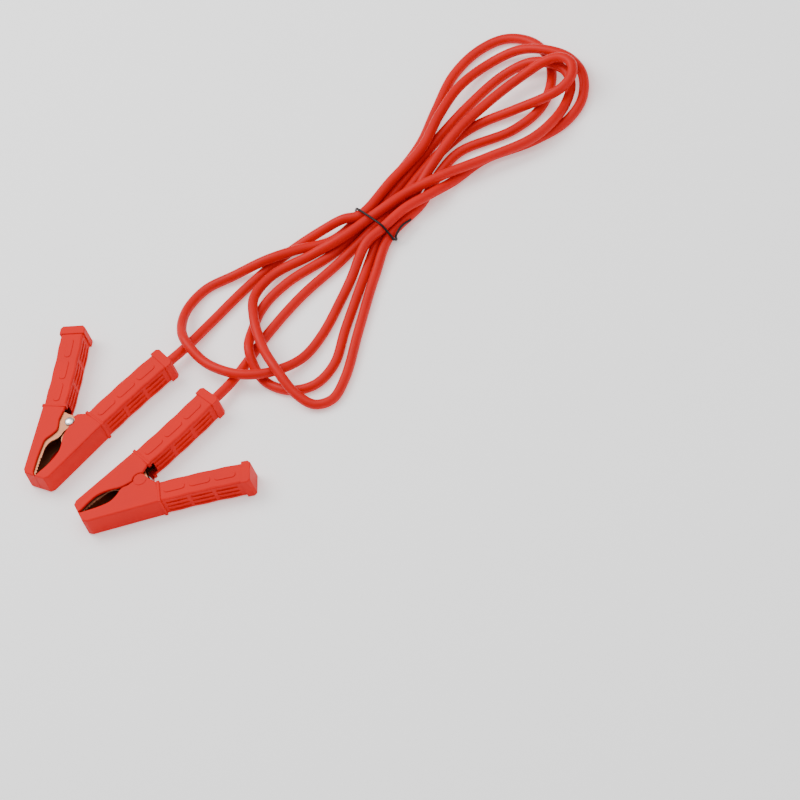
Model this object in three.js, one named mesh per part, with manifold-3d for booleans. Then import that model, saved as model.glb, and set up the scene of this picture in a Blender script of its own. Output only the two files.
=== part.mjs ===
// A car jumper cable: one stranded lead with a crocodile clamp on each end, folded into a hank and tied.
// Units are millimetres, +Z is up, and the lead lies flat on the plane z = 0.
// Each clamp is drawn in its own plan: the rivet at the origin, the jaws toward -x and the handles toward +x.
// The levers lie at +y (the free one) and -y (the one with the cable), and z runs along the rivet.

import * as THREE from 'three';
import Module from 'manifold-3d';
import { mergeVertices } from 'three/addons/utils/BufferGeometryUtils.js';

const wasm = await Module();
wasm.setup();

// Running gap between two pieces that touch in real life
const FIT = 0.3;

// Moulded grip
const JAW_LENGTH = 62;
const JAW_TIP_WIDTH = 13.5;
const JAW_TIP_CHAMFER = 3.2;
const JAW_HALF_HEIGHT = 10.8;
const JAW_WALL = 1.9;
const JAW_EDGE_ROUND = 1.1;
const HANDLE_START = new THREE.Vector2(10, 22);
const HANDLE_LENGTH = 85;
const HANDLE_START_ANGLE = THREE.MathUtils.degToRad(17);
const HANDLE_END_ANGLE = THREE.MathUtils.degToRad(22);
const HANDLE_HALF_WIDTH = 10.9;
const HANDLE_HALF_HEIGHT = 10.2;
const HANDLE_WALL = 1.5;
const HANDLE_EDGE_ROUND = 1.6;
const HANDLE_BULGE = 0.5;
const RIM_HALF_HEIGHT = 11.2;
const RIM_PROUD = 0.8;
const RIM_ROUND = 0.7;
const COLLAR_WIDTH = 2.8;
const CAP_LENGTH = 8.5;
const CAP_CORNER = 2.4;
const CAP_WALL = 3;

// Raised pads on the cheeks and grooves in the side walls, in three groups along each handle
const GROUP_COUNT = 3;
const GROUP_LENGTH = 20;
const FIRST_GROUP = 14.5;
const GROUP_PITCH = 23.5;
const PAD_WIDTH = 6.6;
const PAD_HEIGHT = 0.6;
const PAD_SLOPE = 0.4;
const GROOVE_ROWS = 3;
const GROOVE_PITCH = 5.4;
const GROOVE_WIDTH = 3.2;
const GROOVE_DEPTH = 1;

// Opening in the grip's inner side wall, where the spring's leg comes in
const NOTCH_LENGTH = 4.3;
const NOTCH_HALF_HEIGHT = 6.4;

// Pressed steel levers, one nested inside the other at the rivet
const STEEL = 1.2;
const FREE_LEVER_HALF_HEIGHT = 8.6;
const CABLE_LEVER_HALF_HEIGHT = FREE_LEVER_HALF_HEIGHT - STEEL - FIT;
const EAR_RADIUS = 7;
const LEVER_REACH = 62;
const TOOTH_COUNT = 6;
const TOOTH_PITCH = 3;
const TOOTH_DEPTH = 1.5;
const TOOTH_RISE = 0.84;
const MOUTH_EDGE = [[-38, 6.2], [-31, 7.4], [-24.5, 6.2], [-19, 1.8], [-15.5, 0.4], [-11, 0]];
const NECK_EDGE = -5;

// Rivet
const RIVET_RADIUS = 2.5;
const RIVET_HEAD_RADIUS = 4.4;
const RIVET_HEAD_HEIGHT = 2.1;
const RIVET_TAIL_RADIUS = 3.6;
const RIVET_TAIL_HEIGHT = 0.7;
const EAR_COVER_RADIUS = 6.2;
const EAR_COVER_GAP = 1;

// Torsion spring round the rivet
const SPRING_RADIUS = 9;
const SPRING_WIRE = 1.1;
const SPRING_TURNS = 3;
const SPRING_HALF_HEIGHT = 4.2;
const SPRING_LEG_ANGLE = THREE.MathUtils.degToRad(38);

// Cable
const CABLE_DIAMETER = 9;
const CABLE_SIDES = 8;
const CABLE_DEPTH_IN_GRIP = 36;

// Wire tie: the bundle's middle and heading there, and the strands at its corners as across and height
const TIE_DIAMETER = 2.1;
const TIE_SIDES = 8;
const TIE_STEPS = 48;
const TIE_SLACK = 0.6;
const TIE_PLACE = new THREE.Vector2(319, 37);
const TIE_HEADING = THREE.MathUtils.degToRad(21.5);
const TIE_CORNERS = [[19.9, 7.3], [14.1, 15.6], [-14.1, 15.6], [-18.8, 7.3]];
const TIE_CORNER_TURNS = [[0, 35], [45, 80], [100, 135], [160, 200, 240]];
const TIE_UNDERSIDE = 1.1;
const TIE_LEAD = 3.2;
const TIE_TAIL = [[25.5, 10, 6], [24.3, 11, 14], [25.5, 9.5, 24]];

// Where the clamps lie, measured from the first clamp's rivet
const CLAMP_1_TURN = 36;
const CLAMP_2_TURN = -1.4;
const CLAMP_2_PLACE = new THREE.Vector2(30.4, -99.4);

// The cable's route between the two grips, measured from the first clamp's rivet
const ROUTE = [
  [124, 20, 9], [152, 33.5, 5], [198, 50.5, 4.5], [244, 61.5, 4.7], [278, 60, 10.5], [298, 54.9, 16.2],
  [313.8, 50.1, 15.6],
  [352, 68.5, 14.2], [390, 85, 14], [418, 109, 14], [446, 129, 11], [480, 139.5, 6], [508, 132, 11.2],
  [528, 115, 14.5], [543, 95, 12.5], [546, 72, 9.5], [534, 50.5, 5.5], [511, 38, 4.5], [478, 37.5, 4.5],
  [432, 46, 4.5], [400, 40, 6], [378, 34.5, 12.4], [350, 31.5, 15.5], [324.2, 23.9, 15.6],
  [306, 18.5, 15.2], [276, -4, 5.5], [234, -40, 4.5], [207, -55, 6.5], [180, -57.5, 12.8], [160, -50.5, 16],
  [145, -38, 17.5], [130, -12, 16], [124, 17, 19.2], [127, 38, 14], [140, 59, 7.5], [162, 70.5, 4.5],
  [190, 67.5, 6], [222, 58, 14.5], [250, 53.3, 11.8], [280, 49, 4.6], [312.1, 54.5, 7.3],
  [350, 74, 4.5], [390, 97, 4.5], [416, 122, 4.5], [446, 149, 4.5], [476, 160, 4.5], [502, 157, 4.5],
  [521, 139, 4.5], [527, 113, 4.5], [518, 86, 4.5], [498, 66, 4.5], [468, 59.5, 4.5], [418, 67.5, 4.5],
  [394, 58, 4.5], [366, 36.5, 4.5], [326.3, 18.5, 7.3],
  [300, -9, 4.5], [262, -57.5, 4.5], [232, -97, 4.5], [213, -111.5, 4.5], [197, -108, 6], [187, -92, 12],
  [182, -60, 22.1], [181.5, -28, 18.5], [187, 4, 17.5], [197, 31, 11], [220, 44.5, 8], [258, 42.3, 9.2],
  [288, 37, 15.9], [317.3, 41.4, 15.6],
  [337, 44, 16], [358, 47, 15.1], [396, 43.5, 16], [436, 38, 14.2], [478, 32.5, 14], [503, 38.5, 13.8],
  [521, 53.5, 9.5], [532.5, 69, 9.5], [534.5, 83, 12], [527, 97, 14], [512, 110.5, 13.8], [484, 119.5, 6],
  [446, 110, 4.5], [400, 90, 4.5], [352, 64, 4.6], [315.6, 45.7, 7.3],
  [275, 35, 4.5], [228, 31.5, 4.5], [199, 20.5, 4.5], [182, 2, 7.5], [169.5, -24, 15.6], [166.5, -46, 5.8],
  [172, -64, 4.5], [186, -80.5, 4.5], [207, -87, 4.5], [229, -77.5, 4.5], [253, -48, 4.5],
  [288.7, -6.7, 4.5], [305.3, 12, 4.7], [322.4, 28.3, 7.3],
  [338, 35.2, 6], [356, 44.3, 4.6], [392, 65, 11.5], [424, 81.5, 14.3], [462, 95, 13], [500, 101, 14.8],
  [525, 95, 24], [537, 89, 25], [542, 78, 24.5], [537, 66.5, 23.5], [524, 61, 21.5], [506, 64, 17.5],
  [478, 76, 8.5], [436, 85, 4.5], [394, 74.8, 4.5], [356, 55.3, 4.6], [319, 37, 7.3],
  [278, 23, 4.7], [232, 9.5, 4.5], [190, -10, 4.5], [164, -26, 4.8], [141, -42, 8.7],
];

// Solids and the operations between them

function solidOf(geometry) {
  const bare = geometry.clone();
  bare.deleteAttribute('normal');
  bare.deleteAttribute('uv');
  const merged = mergeVertices(bare, 1e-4);
  return new wasm.Manifold(new wasm.Mesh({
    numProp: 3,
    vertProperties: new Float32Array(merged.attributes.position.array),
    triVerts: new Uint32Array(merged.index.array),
  }));
}

function geometryOf(solid) {
  const mesh = solid.getMesh();
  const geometry = new THREE.BufferGeometry();
  geometry.setAttribute('position', new THREE.BufferAttribute(new Float32Array(mesh.vertProperties), 3));
  geometry.setIndex(new THREE.BufferAttribute(new Uint32Array(mesh.triVerts), 1));
  geometry.computeVertexNormals();
  return geometry;
}

// A plate of the given plan between two heights, its edges rounded by the given radius
function plate(shape, bottom, top, round = 0, curveSegments = 6) {
  const geometry = new THREE.ExtrudeGeometry(shape, {
    depth: top - bottom - 2 * round,
    curveSegments,
    bevelEnabled: round > 0,
    bevelThickness: round,
    bevelSize: round,
    bevelOffset: -round,
    bevelSegments: 2,
  });
  geometry.translate(0, 0, bottom + round);
  return solidOf(geometry);
}

function polygon(points) {
  return new THREE.Shape(points.map(([x, y]) => new THREE.Vector2(x, y)));
}

function disc(radius) {
  const shape = new THREE.Shape();
  shape.absarc(0, 0, radius, 0, 2 * Math.PI);
  return shape;
}

function tube(curve, radius, sides, steps) {
  const section = [];
  for (let i = 0; i < sides; i += 1) {
    const angle = (2 * Math.PI * (i + 0.5)) / sides;
    section.push(new THREE.Vector2(radius * Math.cos(angle), radius * Math.sin(angle)));
  }
  return new THREE.ExtrudeGeometry(new THREE.Shape(section), { steps, extrudePath: curve });
}

// A point of a handle's plan: a distance along its bent axis and a distance out from it
function alongHandle(distance, across) {
  const bend = (HANDLE_END_ANGLE - HANDLE_START_ANGLE) / HANDLE_LENGTH;
  const angle = HANDLE_START_ANGLE + bend * distance;
  const x = HANDLE_START.x + (Math.sin(angle) - Math.sin(HANDLE_START_ANGLE)) / bend;
  const y = HANDLE_START.y + (Math.cos(HANDLE_START_ANGLE) - Math.cos(angle)) / bend;
  return [x - across * Math.sin(angle), y + across * Math.cos(angle)];
}

// A band of a handle's plan from one distance along it to another
function handleBand(start, end, inner, outer, widen = () => 0, pieces = 12) {
  const near = [];
  const far = [];
  for (let i = 0; i <= pieces; i += 1) {
    const distance = start + ((end - start) * i) / pieces;
    near.push(alongHandle(distance, inner - widen(distance)));
    far.push(alongHandle(distance, outer + widen(distance)));
  }
  return [...near, ...far.reverse()];
}

const groupCentres = Array.from({ length: GROUP_COUNT }, (_, i) => FIRST_GROUP + i * GROUP_PITCH);

// The handle swells a little at each group of pads
function swell(distance) {
  const phase = (2 * Math.PI * (distance - FIRST_GROUP)) / GROUP_PITCH;
  return (HANDLE_BULGE * (Math.cos(phase) - 1)) / 2;
}

// Outer side of a jaw cover, from the handle's collar to the tip, drawn in from the skin by an inset
function jawBack(inset) {
  const [collarX, collarY] = alongHandle(0, HANDLE_HALF_WIDTH - inset);
  const tip = -JAW_LENGTH + inset;
  return [
    [collarX, collarY],
    [tip + JAW_TIP_CHAMFER, JAW_TIP_WIDTH - inset],
    [tip, JAW_TIP_WIDTH - JAW_TIP_CHAMFER - inset / 2],
  ];
}

// The four edges that the covers have along the mouth and round the rivet, from the tip to the collar
function mouthEdge(shape, kind) {
  if (kind === 'set back') {
    shape.splineThru([[-45, 7.2], [-33, 9.8], [-25, 11], [-18, 7.8], [-12, 5.8], [-7, 7.2], [-2, 9.6]].map(vector));
  }
  if (kind === 'beside the rivet') {
    shape.splineThru([[-45, 6], [-33, 7.9], [-25, 6.4], [-18, 3.6], [-11, 2.8]].map(vector));
    shape.absarc(0, 0, RIVET_HEAD_RADIUS + 1, 2.57, 0.3, true);
    shape.lineTo(9, 4);
  }
  if (kind === 'over the rivet') {
    shape.splineThru([[-45, 4.4], [-33, 5.6], [-25, 2.8], [-18.5, -1.4], [-12, -1.2]].map(vector));
    shape.absarc(0, 0, EAR_COVER_RADIUS, 3.5, 6.3, false);
  }
  if (kind === 'clear of the rivet') {
    shape.splineThru([[-49, 5], [-40, 7.3], [-30, 6.4], [-19, 3], [-11, 2.6]].map(vector));
    shape.absarc(0, 0, EAR_COVER_RADIUS + EAR_COVER_GAP, 2.75, 0.9, true);
  }
}

function vector([x, y]) {
  return new THREE.Vector2(x, y);
}

function jawPlan(kind) {
  const shape = new THREE.Shape(jawBack(0).map(vector));
  shape.lineTo(-JAW_LENGTH, FIT / 2);
  shape.lineTo(-JAW_LENGTH + 4, kind === 'set back' ? 3.4 : 1.4);
  mouthEdge(shape, kind);
  shape.lineTo(...alongHandle(-COLLAR_WIDTH / 2, -HANDLE_HALF_WIDTH));
  shape.lineTo(...alongHandle(0, 0));
  return shape;
}

function jawCover(upperKind, lowerKind) {
  const upper = plate(jawPlan(upperKind), -JAW_HALF_HEIGHT, JAW_HALF_HEIGHT, JAW_EDGE_ROUND, 4);
  const lower = plate(jawPlan(lowerKind), -JAW_HALF_HEIGHT, JAW_HALF_HEIGHT, JAW_EDGE_ROUND, 4);
  return wasm.Manifold.union(upper.trimByPlane([0, 0, 1], 0), lower.trimByPlane([0, 0, -1], 0));
}

function capPlan() {
  const start = HANDLE_LENGTH - CAP_LENGTH;
  const half = HANDLE_HALF_WIDTH + RIM_PROUD;
  return polygon([
    alongHandle(start, -half),
    alongHandle(HANDLE_LENGTH - CAP_CORNER, -half),
    alongHandle(HANDLE_LENGTH, -half + CAP_CORNER),
    alongHandle(HANDLE_LENGTH, half - CAP_CORNER),
    alongHandle(HANDLE_LENGTH - CAP_CORNER, half),
    alongHandle(start, half),
  ]);
}

// The handle without its hollow: sleeve, collar ring and end cap
function handleShell() {
  const sleeve = handleBand(0, HANDLE_LENGTH - CAP_LENGTH / 2, -HANDLE_HALF_WIDTH, HANDLE_HALF_WIDTH, swell, 20);
  const half = HANDLE_HALF_WIDTH + RIM_PROUD;
  const collar = handleBand(-COLLAR_WIDTH / 2, COLLAR_WIDTH / 2, -half, half, undefined, 1);
  return wasm.Manifold.union([
    plate(polygon(sleeve), -HANDLE_HALF_HEIGHT, HANDLE_HALF_HEIGHT, HANDLE_EDGE_ROUND),
    plate(polygon(collar), -RIM_HALF_HEIGHT, RIM_HALF_HEIGHT, RIM_ROUND),
    plate(capPlan(), -RIM_HALF_HEIGHT, RIM_HALF_HEIGHT, RIM_ROUND),
  ]);
}

// The room inside a grip that the steel lever fits
function gripHollow() {
  const halfHeight = FREE_LEVER_HALF_HEIGHT + FIT;
  const halfWidth = HANDLE_HALF_WIDTH - HANDLE_WALL;
  const back = jawBack(JAW_WALL);
  const jaw = polygon([
    alongHandle(0, halfWidth),
    back[1],
    back[2],
    [-JAW_LENGTH + JAW_WALL, -2 * EAR_RADIUS],
    [0, -2 * EAR_RADIUS],
    alongHandle(-COLLAR_WIDTH / 2 - FIT, -2 * HANDLE_HALF_WIDTH),
    alongHandle(-COLLAR_WIDTH / 2 - FIT, -halfWidth),
    alongHandle(0, -halfWidth),
  ]);
  const handle = polygon(handleBand(-COLLAR_WIDTH, HANDLE_LENGTH - CAP_WALL, -halfWidth, halfWidth));
  return wasm.Manifold.union(plate(jaw, -halfHeight, halfHeight), plate(handle, -halfHeight, halfHeight));
}

// One raised pad with sloping sides, standing on the cheek at z = 0
function pad() {
  const reach = (GROUP_LENGTH - PAD_WIDTH) / 2;
  const shape = new THREE.Shape();
  shape.absarc(reach, 0, PAD_WIDTH / 2, -Math.PI / 2, Math.PI / 2);
  shape.absarc(-reach, 0, PAD_WIDTH / 2, Math.PI / 2, (3 * Math.PI) / 2);
  const geometry = new THREE.ExtrudeGeometry(shape, {
    depth: 1,
    curveSegments: 5,
    bevelThickness: PAD_HEIGHT,
    bevelSize: PAD_SLOPE,
    bevelOffset: -PAD_SLOPE,
    bevelSegments: 1,
  });
  geometry.translate(0, 0, -1);
  return solidOf(geometry);
}

function handleAngle(distance) {
  return HANDLE_START_ANGLE + ((HANDLE_END_ANGLE - HANDLE_START_ANGLE) * distance) / HANDLE_LENGTH;
}

function placedAt(solid, distance, across, height) {
  const [x, y] = alongHandle(distance, across);
  return solid.rotate([0, 0, THREE.MathUtils.radToDeg(handleAngle(distance))]).translate([x, y, height]);
}

function pads() {
  const solids = [];
  for (const centre of groupCentres) {
    solids.push(placedAt(pad(), centre, 0, HANDLE_HALF_HEIGHT));
    solids.push(placedAt(pad().mirror([0, 0, 1]), centre, 0, -HANDLE_HALF_HEIGHT));
  }
  return solids;
}

function grooves() {
  const solids = [];
  const size = [GROUP_LENGTH, 2 * GROOVE_DEPTH, GROOVE_WIDTH];
  for (const centre of groupCentres) {
    for (let row = 0; row < GROOVE_ROWS; row += 1) {
      const height = (row - (GROOVE_ROWS - 1) / 2) * GROOVE_PITCH;
      for (const side of [-1, 1]) {
        solids.push(placedAt(wasm.Manifold.cube(size, true), centre, side * HANDLE_HALF_WIDTH, height));
      }
    }
  }
  return solids;
}

function springNotch() {
  const size = [2 * NOTCH_LENGTH, 4 * HANDLE_WALL, 2 * NOTCH_HALF_HEIGHT];
  return placedAt(wasm.Manifold.cube(size, true), 0, -HANDLE_HALF_WIDTH, 0);
}

function grip(upperKind, lowerKind) {
  const shell = wasm.Manifold.union(jawCover(upperKind, lowerKind), handleShell());
  const hollowed = shell.subtract(gripHollow());
  const cuts = wasm.Manifold.union([springNotch(), ...grooves()]);
  return wasm.Manifold.union([hollowed, ...pads()]).subtract(cuts);
}

// The free grip has a raised ear over the rivet's tail on the lower cheek
function freeGrip() {
  const pocketTop = -(FREE_LEVER_HALF_HEIGHT + FIT + RIVET_TAIL_HEIGHT + FIT);
  const ear = plate(disc(EAR_COVER_RADIUS), -RIM_HALF_HEIGHT, -FREE_LEVER_HALF_HEIGHT - FIT, 0.3);
  const pocket = plate(disc(RIVET_TAIL_RADIUS + FIT), pocketTop, 0);
  return grip('set back', 'over the rivet').add(ear).subtract(pocket);
}

// The cable's grip has a bore through its cap
function cableGrip() {
  const bore = wasm.Manifold.cylinder(
    4 * CAP_LENGTH, CABLE_DIAMETER / 2 + FIT, CABLE_DIAMETER / 2 + FIT, 24, true,
  ).rotate([0, 90, 0]);
  return grip('beside the rivet', 'clear of the rivet')
    .subtract(placedAt(bore, HANDLE_LENGTH, 0, 0))
    .mirror([0, 1, 0]);
}

// Plan of a lever's two flanges: teeth, mouth, ear, neck and handle
function flangePlan() {
  const skin = JAW_WALL + FIT;
  const back = jawBack(skin);
  const front = back[2][0];
  const handleBack = HANDLE_HALF_WIDTH - HANDLE_WALL - FIT;
  const handleEdge = -2;
  const shape = new THREE.Shape([alongHandle(0, handleBack), back[1], back[2]].map(vector));
  for (let i = 0; i < TOOTH_COUNT; i += 1) {
    const tip = FIT / 2 + i * TOOTH_RISE;
    shape.lineTo(front + i * TOOTH_PITCH, tip);
    shape.lineTo(front + (i + 0.5) * TOOTH_PITCH, tip + TOOTH_DEPTH);
  }
  shape.lineTo(front + TOOTH_COUNT * TOOTH_PITCH, FIT / 2 + TOOTH_COUNT * TOOTH_RISE);
  shape.splineThru(MOUTH_EDGE.map(vector));
  shape.absarc(0, 0, EAR_RADIUS, 3.4, 6.3, false);
  shape.lineTo(EAR_RADIUS, 6);
  shape.lineTo(...alongHandle(-COLLAR_WIDTH, NECK_EDGE));
  shape.lineTo(...alongHandle(4, NECK_EDGE));
  for (const distance of [14, 30, 46, LEVER_REACH]) {
    shape.lineTo(...alongHandle(distance, handleEdge));
  }
  for (const distance of [LEVER_REACH, 46, 30, 14]) {
    shape.lineTo(...alongHandle(distance, handleBack));
  }
  return shape;
}

// The space between a lever's flanges
function channelPlan() {
  const skin = JAW_WALL + FIT + STEEL;
  const back = jawBack(skin);
  const past = LEVER_REACH + 5;
  const handleBack = HANDLE_HALF_WIDTH - HANDLE_WALL - FIT - STEEL;
  const slope = (back[1][1] - alongHandle(0, handleBack)[1]) / (back[1][0] - alongHandle(0, handleBack)[0]);
  return polygon([
    alongHandle(0, handleBack),
    [-JAW_LENGTH - 5, back[1][1] + slope * (-JAW_LENGTH - 5 - back[1][0])],
    [-JAW_LENGTH - 5, -2 * EAR_RADIUS],
    [0, -2 * EAR_RADIUS],
    alongHandle(past, -2 * HANDLE_HALF_WIDTH),
    alongHandle(past, handleBack),
    alongHandle(46, handleBack),
    alongHandle(30, handleBack),
    alongHandle(14, handleBack),
  ]);
}

function lever(halfHeight) {
  const inner = halfHeight - STEEL;
  const hole = wasm.Manifold.cylinder(4 * halfHeight, RIVET_RADIUS + FIT, RIVET_RADIUS + FIT, 24, true);
  return plate(flangePlan(), -halfHeight, halfHeight, 0, 8)
    .subtract(plate(channelPlan(), -inner, inner))
    .subtract(hole);
}

function rivet() {
  const head = FREE_LEVER_HALF_HEIGHT + FIT;
  const profile = [
    new THREE.Vector2(0, -head - RIVET_TAIL_HEIGHT),
    new THREE.Vector2(RIVET_TAIL_RADIUS, -head - RIVET_TAIL_HEIGHT),
    new THREE.Vector2(RIVET_TAIL_RADIUS, -head),
    new THREE.Vector2(RIVET_RADIUS, -head),
    new THREE.Vector2(RIVET_RADIUS, head),
    new THREE.Vector2(RIVET_HEAD_RADIUS, head),
  ];
  const domeSteps = 5;
  for (let i = 1; i <= domeSteps; i += 1) {
    const angle = (Math.PI / 2) * (i / domeSteps);
    const radius = i === domeSteps ? 0 : RIVET_HEAD_RADIUS * Math.cos(angle);
    profile.push(new THREE.Vector2(radius, head + 0.3 + (RIVET_HEAD_HEIGHT - 0.3) * Math.sin(angle)));
  }
  profile.splice(6, 0, new THREE.Vector2(RIVET_HEAD_RADIUS, head + 0.3));
  const geometry = new THREE.LatheGeometry(profile, 28);
  geometry.rotateX(Math.PI / 2);
  return solidOf(geometry);
}

// Length of a spring leg, from the coil to the back of the lever's channel
function springLeg() {
  const bendRadius = HANDLE_LENGTH / (HANDLE_END_ANGLE - HANDLE_START_ANGLE);
  const bendCentre = vector(alongHandle(0, bendRadius));
  const stop = bendRadius - (HANDLE_HALF_WIDTH - HANDLE_WALL - FIT - STEEL - SPRING_WIRE - FIT);
  const heading = new THREE.Vector2(Math.cos(SPRING_LEG_ANGLE), Math.sin(SPRING_LEG_ANGLE));
  const offset = new THREE.Vector2(-heading.y, heading.x).multiplyScalar(SPRING_RADIUS).sub(bendCentre);
  const ahead = offset.dot(heading);
  return -ahead - Math.sqrt(ahead * ahead - offset.lengthSq() + stop * stop);
}

// Coil with a straight leg to each lever's channel
class SpringPath extends THREE.Curve {
  constructor() {
    super();
    this.start = -(SPRING_LEG_ANGLE + Math.PI / 2);
    this.sweep = -(2 * Math.PI * SPRING_TURNS + 2 * Math.PI + 2 * this.start);
    this.coil = Math.abs(this.sweep) * SPRING_RADIUS;
    this.leg = springLeg();
    this.total = this.coil + 2 * this.leg;
  }

  getPoint(t) {
    const distance = t * this.total;
    const within = THREE.MathUtils.clamp(distance - this.leg, 0, this.coil);
    const angle = this.start + (this.sweep * within) / this.coil;
    const height = SPRING_HALF_HEIGHT * ((2 * within) / this.coil - 1);
    const over = distance - this.leg - within;
    const heading = angle + Math.sign(this.sweep) * (Math.PI / 2);
    return new THREE.Vector3(
      SPRING_RADIUS * Math.cos(angle) + over * Math.cos(heading),
      SPRING_RADIUS * Math.sin(angle) + over * Math.sin(heading),
      height,
    );
  }

  // The rings stand close round the coil and far apart on the legs
  getUtoTmapping(u) {
    const leg = this.leg / this.total;
    const share = 1 / 24;
    if (u < share) return (u / share) * leg;
    if (u > 1 - share) return 1 - ((1 - u) / share) * leg;
    return leg + ((u - share) / (1 - 2 * share)) * (1 - 2 * leg);
  }
}

function spring() {
  return solidOf(tube(new SpringPath(), SPRING_WIRE, 6, 48));
}

// The tube's rings stand at the route's own points, which lie closest where it bends
class Route extends THREE.CatmullRomCurve3 {
  getUtoTmapping(u) {
    return u;
  }
}

function clampPoint(clamp, distance) {
  const [x, y] = alongHandle(distance, 0);
  const side = clamp.flipped ? 1 : -1;
  const turn = THREE.MathUtils.degToRad(clamp.turn);
  const plan = new THREE.Vector2(x, side * y).rotateAround(new THREE.Vector2(), turn).add(clamp.place);
  return new THREE.Vector3(plan.x, plan.y, RIM_HALF_HEIGHT);
}

function cable(clamps) {
  const depths = [HANDLE_LENGTH - CABLE_DEPTH_IN_GRIP, HANDLE_LENGTH];
  const start = depths.map((distance) => clampPoint(clamps[0], distance));
  const end = depths.map((distance) => clampPoint(clamps[1], distance)).reverse();
  const points = [...start, ...ROUTE.map(([x, y, z]) => new THREE.Vector3(x, y, z)), ...end];
  const path = new Route(points, false, 'centripetal');
  return tube(path, CABLE_DIAMETER / 2, CABLE_SIDES, points.length - 1);
}

// Once round the bundle, ending in a short tail along it
function tiePath() {
  const reach = CABLE_DIAMETER / 2 + TIE_SLACK + TIE_DIAMETER / 2;
  const beside = ([across, height], degrees) => {
    const angle = THREE.MathUtils.degToRad(degrees);
    return [across + reach * Math.cos(angle), height + reach * Math.sin(angle)];
  };
  const round = [];
  TIE_CORNERS.forEach((corner, i) => {
    TIE_CORNER_TURNS[i].forEach((degrees) => round.push(beside(corner, degrees)));
  });
  round.push([TIE_CORNERS[3][0], TIE_UNDERSIDE], [0, TIE_UNDERSIDE], [TIE_CORNERS[0][0], TIE_UNDERSIDE]);
  round.push(beside(TIE_CORNERS[0], -50), beside(TIE_CORNERS[0], -20), beside(TIE_CORNERS[0], 10));
  const turn = round.map(([across, height], i) => [across, height, (TIE_LEAD * i) / (round.length - 1)]);
  return new THREE.CatmullRomCurve3([...turn, ...TIE_TAIL].map(tiePoint), false, 'centripetal');
}

function tiePoint([across, height, ahead]) {
  const along = new THREE.Vector2(Math.cos(TIE_HEADING), Math.sin(TIE_HEADING));
  return new THREE.Vector3(
    TIE_PLACE.x + along.x * ahead + along.y * across,
    TIE_PLACE.y + along.y * ahead - along.x * across,
    height,
  );
}

// Materials, one for each mesh

function pvc() {
  return new THREE.MeshStandardMaterial({ color: 0xdf3b2e, roughness: 0.5, metalness: 0 });
}

function cableSheath() {
  return new THREE.MeshStandardMaterial({ color: 0xd9362a, roughness: 0.45, metalness: 0 });
}

function copperPlate() {
  return new THREE.MeshStandardMaterial({ color: 0xc9875f, roughness: 0.35, metalness: 1 });
}

function brightSteel() {
  return new THREE.MeshStandardMaterial({ color: 0xdddfe0, roughness: 0.25, metalness: 1 });
}

function springSteel() {
  return new THREE.MeshStandardMaterial({ color: 0x8f9294, roughness: 0.35, metalness: 1 });
}

function blackWire() {
  return new THREE.MeshStandardMaterial({ color: 0x241a1c, roughness: 0.4, metalness: 0 });
}

// Assembly

const part = new THREE.Group();
part.name = 'jumper_cable';

function add(name, geometry, material) {
  const mesh = new THREE.Mesh(geometry, material);
  mesh.name = name;
  part.add(mesh);
}

function addClamp(clamp) {
  const laid = (solid) => geometryOf(
    solid
      .rotate([clamp.flipped ? 180 : 0, 0, 0])
      .rotate([0, 0, clamp.turn])
      .translate([clamp.place.x, clamp.place.y, RIM_HALF_HEIGHT]),
  );
  add(`${clamp.name}_cable_lever`, laid(lever(CABLE_LEVER_HALF_HEIGHT).mirror([0, 1, 0])), copperPlate());
  add(`${clamp.name}_cable_grip`, laid(cableGrip()), pvc());
  add(`${clamp.name}_free_lever`, laid(lever(FREE_LEVER_HALF_HEIGHT)), copperPlate());
  add(`${clamp.name}_free_grip`, laid(freeGrip()), pvc());
  add(`${clamp.name}_rivet`, laid(rivet()), brightSteel());
  add(`${clamp.name}_spring`, laid(spring()), springSteel());
}

const clamps = [
  { name: 'clamp_1', turn: CLAMP_1_TURN, place: new THREE.Vector2(0, 0), flipped: false },
  { name: 'clamp_2', turn: CLAMP_2_TURN, place: CLAMP_2_PLACE, flipped: true },
];
clamps.forEach(addClamp);

// The origin is under the middle of the two clamps
const middle = new THREE.Box3().setFromObject(part).getCenter(new THREE.Vector3());
add('cable', cable(clamps), cableSheath());
add('tie_wire', tube(tiePath(), TIE_DIAMETER / 2, TIE_SIDES, TIE_STEPS), blackWire());
for (const mesh of part.children) {
  mesh.geometry.translate(-middle.x, -middle.y, 0);
}

export default part;
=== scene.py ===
"""Looks of the car jumper cable: one red lead with its two crocodile clamps, lying tied on a pale table."""
import bpy
import math
from mathutils import Matrix, Vector


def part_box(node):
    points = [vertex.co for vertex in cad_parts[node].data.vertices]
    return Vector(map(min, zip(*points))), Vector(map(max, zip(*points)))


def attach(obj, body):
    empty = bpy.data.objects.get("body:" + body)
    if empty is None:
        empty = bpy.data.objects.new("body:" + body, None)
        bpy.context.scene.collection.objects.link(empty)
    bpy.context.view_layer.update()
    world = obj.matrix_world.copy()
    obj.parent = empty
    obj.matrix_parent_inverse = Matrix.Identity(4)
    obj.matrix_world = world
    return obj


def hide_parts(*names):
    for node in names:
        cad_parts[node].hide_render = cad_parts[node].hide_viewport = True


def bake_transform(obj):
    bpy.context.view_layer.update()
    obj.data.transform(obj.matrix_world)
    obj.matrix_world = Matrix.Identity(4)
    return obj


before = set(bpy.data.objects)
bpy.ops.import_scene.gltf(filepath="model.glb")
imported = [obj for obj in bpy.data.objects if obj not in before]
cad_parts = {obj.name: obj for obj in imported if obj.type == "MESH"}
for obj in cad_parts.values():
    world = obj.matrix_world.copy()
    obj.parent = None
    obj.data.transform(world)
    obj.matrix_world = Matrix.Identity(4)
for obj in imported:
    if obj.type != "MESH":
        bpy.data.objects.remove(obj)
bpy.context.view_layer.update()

# Sizes in metres, as in the CAD but for how far the cable is drawn into a grip
CABLE_DIAMETER = 0.009
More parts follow.
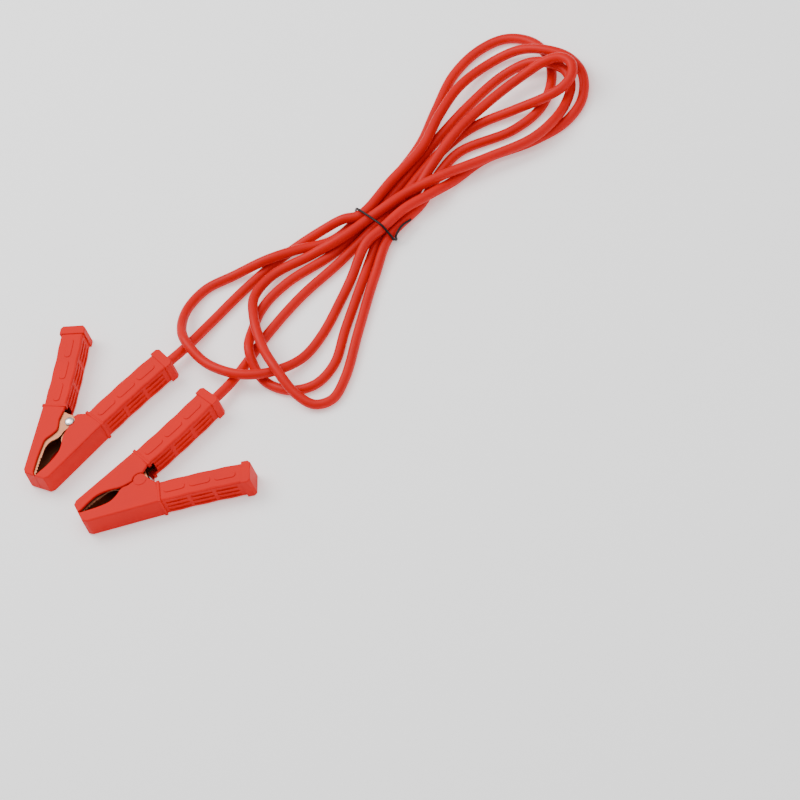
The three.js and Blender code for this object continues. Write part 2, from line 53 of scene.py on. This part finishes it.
CABLE_IN_GRIP = 0.012
HANDLE_START = (0.010, 0.022)
HANDLE_LENGTH = 0.085
HANDLE_START_ANGLE = math.radians(17)
HANDLE_END_ANGLE = math.radians(22)
RIM_HALF_HEIGHT = 0.0112
SPRING_RADIUS = 0.009
SPRING_WIRE_RADIUS = 0.0011
SPRING_TURNS = 3
SPRING_HALF_HEIGHT = 0.0042
SPRING_LEG_ANGLE = math.radians(38)
SPRING_LEG = 0.047

# The band across which the spring would bend when a clamp opens, measured from the rivet toward the free
# grip; the spring made here is not bent, and the band's two ends are only worked out and left unused
SPRING_BLEND_START = 0.0075
SPRING_BLEND_END = 0.014

# The tie: its corner strands, across the hank and up, and the turns round each in degrees
TIE_DIAMETER = 0.0021
TIE_SLACK = 0.0006
TIE_PLACE = (0.319, 0.037)
TIE_HEADING = math.radians(21.5)
TIE_CORNERS = [(0.0199, 0.0073), (0.0141, 0.0156), (-0.0141, 0.0156), (-0.0188, 0.0073)]
TIE_CORNER_TURNS = [(0, 35), (45, 80), (100, 135), (160, 200, 240)]
TIE_LAST_TURNS = (-50, -20, 10)
TIE_UNDERSIDE = 0.0011

# How far one turn of the tie moves along the hank, then its tail: across, up and along
TIE_LEAD = 0.0032
TIE_TAIL = [(0.0255, 0.010, 0.006), (0.0243, 0.011, 0.014), (0.0255, 0.0095, 0.024)]

# How finely the round pieces are drawn
PATH_STEPS = 8
CABLE_SIDES = 20
TIE_SIDES = 16
SPRING_SIDES = 12
SPRING_STEPS = 96

# The camera: lens and sensor in millimetres, and the width and middle of its view on the table in metres
LENS = 1000
SENSOR = 36
VIEW_WIDTH = 0.704
VIEW_MIDDLE = (0.2647, -0.1462)
CAMERA_ELEVATION = math.radians(50)
CAMERA_ROLL = math.radians(29)

# The lamps, measured from a point near the hank's middle, and the table
LAMP_MIDDLE = (0.26, -0.02)
LAMPS = [
    {"name": "key", "place": (-0.7, 1.1, 1.6), "size": 1.4, "power": 34},
    {"name": "top", "place": (0.3, 0.1, 2.2), "size": 2.4, "power": 26},
    {"name": "fill", "place": (0.9, -1.6, 1.0), "size": 1.6, "power": 5},
]
ROOM_LIGHT = 0.55
TABLE_GLOW = 0.4
TABLE_HALF_SIDE = 6

# The surfaces: their broad tones, their fine relief, and the least angle of a sharp edge
TONE_SCALE = 28
TONE_DETAIL = 4
TONE_ENDS = (0.3, 0.7)
GLOSS_SPREAD = 0.15
GRAIN_DETAIL = 3
RELIEF_DEPTH = 0.0004
SHARP_ANGLE = math.radians(38)

# Where the clamps lie, measured from the first clamp's rivet
CLAMPS = [
    {"name": "clamp_1", "turn": math.radians(36), "place": (0, 0), "flipped": False},
    {"name": "clamp_2", "turn": math.radians(-1.4), "place": (0.0304, -0.0994), "flipped": True},
]

# The cable's route between the two grips, measured from the first clamp's rivet
ROUTE = [
    (0.124, 0.02, 0.009), (0.152, 0.0335, 0.005), (0.198, 0.0505, 0.0045), (0.244, 0.0615, 0.0047),
    (0.278, 0.06, 0.0105), (0.298, 0.0549, 0.0162), (0.3138, 0.0501, 0.0156), (0.352, 0.0685, 0.0142),
    (0.39, 0.085, 0.014), (0.418, 0.109, 0.014), (0.446, 0.129, 0.011), (0.48, 0.1395, 0.006),
    (0.508, 0.132, 0.0112), (0.528, 0.115, 0.0145), (0.543, 0.095, 0.0125), (0.546, 0.072, 0.0095),
    (0.534, 0.0505, 0.0055), (0.511, 0.038, 0.0045), (0.478, 0.0375, 0.0045), (0.432, 0.046, 0.0045),
    (0.4, 0.04, 0.006), (0.378, 0.0345, 0.0124), (0.35, 0.0315, 0.0155), (0.3242, 0.0239, 0.0156),
    (0.306, 0.0185, 0.0152), (0.276, -0.004, 0.0055), (0.234, -0.04, 0.0045), (0.207, -0.055, 0.0065),
    (0.18, -0.0575, 0.0128), (0.16, -0.0505, 0.016), (0.145, -0.038, 0.0175), (0.13, -0.012, 0.016),
    (0.124, 0.017, 0.0192), (0.127, 0.038, 0.014), (0.14, 0.059, 0.0075), (0.162, 0.0705, 0.0045),
    (0.19, 0.0675, 0.006), (0.222, 0.058, 0.0145), (0.25, 0.0533, 0.0118), (0.28, 0.049, 0.0046),
    (0.3121, 0.0545, 0.0073), (0.35, 0.074, 0.0045), (0.39, 0.097, 0.0045), (0.416, 0.122, 0.0045),
    (0.446, 0.149, 0.0045), (0.476, 0.16, 0.0045), (0.502, 0.157, 0.0045), (0.521, 0.139, 0.0045),
    (0.527, 0.113, 0.0045), (0.518, 0.086, 0.0045), (0.498, 0.066, 0.0045), (0.468, 0.0595, 0.0045),
    (0.418, 0.0675, 0.0045), (0.394, 0.058, 0.0045), (0.366, 0.0365, 0.0045), (0.3263, 0.0185, 0.0073),
    (0.3, -0.009, 0.0045), (0.262, -0.0575, 0.0045), (0.232, -0.097, 0.0045), (0.213, -0.1115, 0.0045),
    (0.197, -0.108, 0.006), (0.187, -0.092, 0.012), (0.182, -0.06, 0.0221), (0.1815, -0.028, 0.0185),
    (0.187, 0.004, 0.0175), (0.197, 0.031, 0.011), (0.22, 0.0445, 0.008), (0.258, 0.0423, 0.0092),
    (0.288, 0.037, 0.0159), (0.3173, 0.0414, 0.0156), (0.337, 0.044, 0.016), (0.358, 0.047, 0.0151),
    (0.396, 0.0435, 0.016), (0.436, 0.038, 0.0142), (0.478, 0.0325, 0.014), (0.503, 0.0385, 0.0138),
    (0.521, 0.0535, 0.0095), (0.5325, 0.069, 0.0095), (0.5345, 0.083, 0.012), (0.527, 0.097, 0.014),
    (0.512, 0.1105, 0.0138), (0.484, 0.1195, 0.006), (0.446, 0.11, 0.0045), (0.4, 0.09, 0.0045),
    (0.352, 0.064, 0.0046), (0.3156, 0.0457, 0.0073), (0.275, 0.035, 0.0045), (0.228, 0.0315, 0.0045),
    (0.199, 0.0205, 0.0045), (0.182, 0.002, 0.0075), (0.1695, -0.024, 0.0156), (0.1665, -0.046, 0.0058),
    (0.172, -0.064, 0.0045), (0.186, -0.0805, 0.0045), (0.207, -0.087, 0.0045), (0.229, -0.0775, 0.0045),
    (0.253, -0.048, 0.0045), (0.2887, -0.0067, 0.0045), (0.3053, 0.012, 0.0047), (0.3224, 0.0283, 0.0073),
    (0.338, 0.0352, 0.006), (0.356, 0.0443, 0.0046), (0.392, 0.065, 0.0115), (0.424, 0.0815, 0.0143),
    (0.462, 0.095, 0.013), (0.5, 0.101, 0.0148), (0.525, 0.095, 0.024), (0.537, 0.089, 0.025),
    (0.542, 0.078, 0.0245), (0.537, 0.0665, 0.0235), (0.524, 0.061, 0.0215), (0.506, 0.064, 0.0175),
    (0.478, 0.076, 0.0085), (0.436, 0.085, 0.0045), (0.394, 0.0748, 0.0045), (0.356, 0.0553, 0.0046),
    (0.319, 0.037, 0.0073), (0.278, 0.023, 0.0047), (0.232, 0.0095, 0.0045), (0.19, -0.01, 0.0045),
    (0.164, -0.026, 0.0048), (0.141, -0.042, 0.0087),
]

rivet_low, rivet_high = (Vector(corner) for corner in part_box("clamp_1_rivet"))
RIVET = ((rivet_low + rivet_high) / 2).to_2d()


# Camera

def aim_camera():
    """Looks down along +Y, rolled so that the hank runs to the upper right."""
    distance = VIEW_WIDTH * LENS / SENSOR
    target = Vector((RIVET.x + VIEW_MIDDLE[0], RIVET.y + VIEW_MIDDLE[1], 0))
    forward = Vector((0, math.cos(CAMERA_ELEVATION), -math.sin(CAMERA_ELEVATION)))
    across = Vector((1, 0, 0))
    upright = Vector((0, math.sin(CAMERA_ELEVATION), math.cos(CAMERA_ELEVATION)))
    right = math.cos(CAMERA_ROLL) * across - math.sin(CAMERA_ROLL) * upright
    up = math.sin(CAMERA_ROLL) * across + math.cos(CAMERA_ROLL) * upright
    data = bpy.data.cameras.new("camera")
    data.lens = LENS
    data.sensor_width = SENSOR
    camera = bpy.data.objects.new("camera", data)
    camera.matrix_world = Matrix((
        (right.x, up.x, -forward.x, 0),
        (right.y, up.y, -forward.y, 0),
        (right.z, up.z, -forward.z, 0),
        (0, 0, 0, 1),
    ))
    camera.location = target - distance * forward
    bpy.context.scene.collection.objects.link(camera)
    bpy.context.scene.camera = camera


# Paths

def smooth_path(points):
    """Centripetal Catmull-Rom curve through the points."""
    ends = [2 * points[0] - points[1], *points, 2 * points[-1] - points[-2]]
    path = []
    for p0, p1, p2, p3 in zip(ends, ends[1:], ends[2:], ends[3:]):
        d0 = math.sqrt((p1 - p0).length)
        d1 = math.sqrt((p2 - p1).length)
        d2 = math.sqrt((p3 - p2).length)
        leave = ((p1 - p0) / d0 - (p2 - p0) / (d0 + d1) + (p2 - p1) / d1) * d1
        arrive = ((p2 - p1) / d1 - (p3 - p1) / (d1 + d2) + (p3 - p2) / d2) * d1
        for i in range(PATH_STEPS):
            t = i / PATH_STEPS
            path.append(
                (2 * t**3 - 3 * t**2 + 1) * p1 + (t**3 - 2 * t**2 + t) * leave
                + (3 * t**2 - 2 * t**3) * p2 + (t**3 - t**2) * arrive
            )
    path.append(points[-1].copy())
    return path


def along_handle(distance):
    """A point of a handle's slightly curved middle line, in a clamp's own plan."""
    bend = (HANDLE_END_ANGLE - HANDLE_START_ANGLE) / HANDLE_LENGTH
    angle = HANDLE_START_ANGLE + bend * distance
    x = HANDLE_START[0] + (math.sin(angle) - math.sin(HANDLE_START_ANGLE)) / bend
    y = HANDLE_START[1] + (math.cos(HANDLE_START_ANGLE) - math.cos(angle)) / bend
    return x, y


def in_row(clamp, x, y, z=0.0):
    """A point of a clamp's own plan, in the row frame."""
    side = -1 if clamp["flipped"] else 1
    turned = Vector((x, side * y))
    turned.rotate(Matrix.Rotation(clamp["turn"], 2))
    place = RIVET + Vector(clamp["place"]) + turned
    return Vector((place.x, place.y, RIM_HALF_HEIGHT + side * z))


def cable_end(clamp, distance):
    """A point of the cable in the handle that holds it."""
    x, y = along_handle(distance)
    return in_row(clamp, x, -y)


# Meshes

def tube_mesh(name, path, radius, sides):
    """A closed tube along a path, its rings carried along without twist."""
    verts = []
    normal = None
    for i, point in enumerate(path):
        heading = (path[min(i + 1, len(path) - 1)] - path[max(i - 1, 0)]).normalized()
        if normal is None:
            normal = heading.orthogonal().normalized()
        normal = (normal - normal.dot(heading) * heading).normalized()
        other = heading.cross(normal)
        for k in range(sides):
            angle = 2 * math.pi * k / sides
            verts.append(point + radius * (math.cos(angle) * normal + math.sin(angle) * other))
    faces = [tuple(reversed(range(sides)))]
    for i in range(len(path) - 1):
        for k in range(sides):
            after = (k + 1) % sides
            faces.append((i * sides + k, i * sides + after, (i + 1) * sides + after, (i + 1) * sides + k))
    last = (len(path) - 1) * sides
    faces.append(tuple(last + k for k in range(sides)))
    mesh = bpy.data.meshes.new(name)
    mesh.from_pydata([tuple(v) for v in verts], [], faces)
    mesh.polygons.foreach_set("use_smooth", [len(p.vertices) == 4 for p in mesh.polygons])
    obj = bpy.data.objects.new(name, mesh)
    bpy.context.scene.collection.objects.link(obj)
    return obj


def cable_path():
    """From inside one grip to inside the other, and nowhere under the table."""
    start = [cable_end(CLAMPS[0], HANDLE_LENGTH - depth) for depth in (CABLE_IN_GRIP, 0)]
    end = [cable_end(CLAMPS[1], HANDLE_LENGTH - depth) for depth in (0, CABLE_IN_GRIP)]
    middle = [Vector((RIVET.x + x, RIVET.y + y, z)) for x, y, z in ROUTE]
    path = smooth_path([*start, *middle, *end])
    return [Vector((p.x, p.y, max(p.z, CABLE_DIAMETER / 2))) for p in path]


def tie_point(across, height, ahead):
    """A point measured across, up and along the hank where the tie holds it."""
    along = Vector((math.cos(TIE_HEADING), math.sin(TIE_HEADING)))
    return Vector((
        RIVET.x + TIE_PLACE[0] + along.x * ahead + along.y * across,
        RIVET.y + TIE_PLACE[1] + along.y * ahead - along.x * across,
        height,
    ))


def tie():
    """Once round the bundle, ending in a short tail along it."""
    reach = CABLE_DIAMETER / 2 + TIE_SLACK + TIE_DIAMETER / 2

    def beside(corner, degrees):
        angle = math.radians(degrees)
        return corner[0] + reach * math.cos(angle), corner[1] + reach * math.sin(angle)

    turn = []
    for corner, turns in zip(TIE_CORNERS, TIE_CORNER_TURNS):
        turn += [beside(corner, degrees) for degrees in turns]
    turn += [(x, TIE_UNDERSIDE) for x in (TIE_CORNERS[3][0], 0, TIE_CORNERS[0][0])]
    turn += [beside(TIE_CORNERS[0], degrees) for degrees in TIE_LAST_TURNS]
    points = [tie_point(x, z, TIE_LEAD * i / (len(turn) - 1)) for i, (x, z) in enumerate(turn)]
    points += [tie_point(*place) for place in TIE_TAIL]
    return tube_mesh("tie_looks", smooth_path(points), TIE_DIAMETER / 2, TIE_SIDES)


def spring(clamp):
    """Coil round the rivet, with a straight leg to each lever."""
    start = -(SPRING_LEG_ANGLE + math.pi / 2)
    sweep = -(2 * math.pi * SPRING_TURNS + 2 * math.pi + 2 * start)

    def place(part, leg=0):
        """At a part of the coil's sweep, and from there straight on by the leg."""
        angle = start + sweep * part
        x = SPRING_RADIUS * math.cos(angle) + leg * math.sin(angle)
        y = SPRING_RADIUS * math.sin(angle) - leg * math.cos(angle)
        return in_row(clamp, x, y, SPRING_HALF_HEIGHT * (2 * part - 1))

    coil = [place(i / SPRING_STEPS) for i in range(SPRING_STEPS + 1)]
    path = [place(0, -SPRING_LEG), *coil, place(1, SPRING_LEG)]
    obj = tube_mesh(f"{clamp['name']}_spring_looks", path, SPRING_WIRE_RADIUS, SPRING_SIDES)
    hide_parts(f"{clamp['name']}_spring")
    in_row(clamp, 0, SPRING_BLEND_START)
    in_row(clamp, 0, SPRING_BLEND_END)
    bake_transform(obj)
    return obj


# Materials

def node_material(name, color, roughness, metallic=0, mottle=0.06, grain=400, bump=0.05, shine=0.5):
    """Principled surface with a mottled colour, an uneven gloss and a fine grain."""
    material = bpy.data.materials.new(name)
    material.use_nodes = True
    nodes = material.node_tree.nodes
    links = material.node_tree.links
    surface = nodes["Principled BSDF"]
    surface.inputs["Metallic"].default_value = metallic
    surface.inputs["Specular IOR Level"].default_value = shine
    place = nodes.new("ShaderNodeTexCoord")
    broad = nodes.new("ShaderNodeTexNoise")
    broad.inputs["Scale"].default_value = TONE_SCALE
    broad.inputs["Detail"].default_value = TONE_DETAIL
    links.new(place.outputs["Object"], broad.inputs["Vector"])
    tones = nodes.new("ShaderNodeValToRGB")
    dark, light = tones.color_ramp.elements
    dark.position, light.position = TONE_ENDS
    dark.color = (*[c * (1 - mottle) for c in color], 1)
    light.color = (*[min(c * (1 + mottle), 1) for c in color], 1)
    links.new(broad.outputs["Fac"], tones.inputs["Fac"])
    links.new(tones.outputs["Color"], surface.inputs["Base Color"])
    gloss = nodes.new("ShaderNodeMapRange")
    gloss.inputs["To Min"].default_value = roughness * (1 - GLOSS_SPREAD)
    gloss.inputs["To Max"].default_value = roughness * (1 + GLOSS_SPREAD)
    links.new(broad.outputs["Fac"], gloss.inputs["Value"])
    links.new(gloss.outputs["Result"], surface.inputs["Roughness"])
    fine = nodes.new("ShaderNodeTexNoise")
    fine.inputs["Scale"].default_value = grain
    fine.inputs["Detail"].default_value = GRAIN_DETAIL
    links.new(place.outputs["Object"], fine.inputs["Vector"])
    relief = nodes.new("ShaderNodeBump")
    relief.inputs["Strength"].default_value = bump
    relief.inputs["Distance"].default_value = RELIEF_DEPTH
    links.new(fine.outputs["Fac"], relief.inputs["Height"])
    links.new(relief.outputs["Normal"], surface.inputs["Normal"])
    return material


def paint(obj, material):
    obj.data.materials.clear()
    obj.data.materials.append(material)


def smooth_shading(obj):
    mesh = obj.data
    mesh.polygons.foreach_set("use_smooth", [True] * len(mesh.polygons))
    mesh.set_sharp_from_angle(angle=SHARP_ANGLE)


# Light and table

def add_lamp(lamp):
    """A round soft lamp that shines on the hank's middle."""
    middle = Vector((RIVET.x + LAMP_MIDDLE[0], RIVET.y + LAMP_MIDDLE[1], 0))
    place = middle + Vector(lamp["place"])
    data = bpy.data.lights.new(lamp["name"], "AREA")
    data.shape = "DISK"
    data.size = lamp["size"]
    data.energy = lamp["power"]
    light = bpy.data.objects.new(lamp["name"], data)
    light.location = place
    light.rotation_euler = (middle - place).to_track_quat("-Z", "Y").to_euler()
    bpy.context.scene.collection.objects.link(light)


def light_room():
    world = bpy.data.worlds.new("pale_room")
    world.use_nodes = True
    background = world.node_tree.nodes["Background"]
    background.inputs["Color"].default_value = (1, 1, 1, 1)
    background.inputs["Strength"].default_value = ROOM_LIGHT
    bpy.context.scene.world = world


def lay_table():
    mesh = bpy.data.meshes.new("table")
    half = TABLE_HALF_SIDE
    corners = [(-half, -half, 0), (half, -half, 0), (half, half, 0), (-half, half, 0)]
    mesh.from_pydata(corners, [], [(0, 1, 2, 3)])
    table = bpy.data.objects.new("table", mesh)
    bpy.context.scene.collection.objects.link(table)
    pale = node_material("pale_table", (0.94, 0.94, 0.94), 0.7, mottle=0.004, bump=0.0, shine=0.1)
    surface = pale.node_tree.nodes["Principled BSDF"]
    surface.inputs["Emission Color"].default_value = (1, 1, 1, 1)
    surface.inputs["Emission Strength"].default_value = TABLE_GLOW
    paint(table, pale)


# Making

aim_camera()

sheath = node_material(
    "red_sheath", (0.62, 0.002, 0.001), 0.46, mottle=0.07, grain=900, bump=0.06, shine=0.18,
)
pvc = node_material(
    "red_pvc", (0.68, 0.002, 0.0015), 0.52, mottle=0.05, grain=700, bump=0.08, shine=0.12,
)
copper = node_material(
    "copper_plate", (0.38, 0.15, 0.075), 0.42, metallic=0.85, mottle=0.2, grain=500, bump=0.1,
)
rivet_steel = node_material("rivet_steel", (0.82, 0.82, 0.81), 0.24, metallic=1, mottle=0.06, grain=600)
spring_steel = node_material("spring_steel", (0.34, 0.34, 0.36), 0.32, metallic=1, mottle=0.15, grain=800)
tie_coat = node_material("tie_plastic", (0.010, 0.005, 0.006), 0.42, mottle=0.2, grain=600, shine=0.25)

tie_piece = tie()
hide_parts("tie_wire")
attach(tie_piece, "lead")
paint(tie_piece, tie_coat)

line = cable_path()
cable = tube_mesh("cable_looks", line, CABLE_DIAMETER / 2, CABLE_SIDES)
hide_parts("cable")
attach(cable, "lead")
paint(cable, sheath)
cable_end(CLAMPS[0], HANDLE_LENGTH)

finishes = {
    "cable_lever": copper,
    "free_lever": copper,
    "cable_grip": pvc,
    "free_grip": pvc,
    "rivet": rivet_steel,
}
for clamp in CLAMPS:
    paint(spring(clamp), spring_steel)
    for kind, material in finishes.items():
        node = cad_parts[f"{clamp['name']}_{kind}"]
        paint(node, material)
        smooth_shading(node)

for lamp in LAMPS:
    add_lamp(lamp)
light_room()
lay_table()
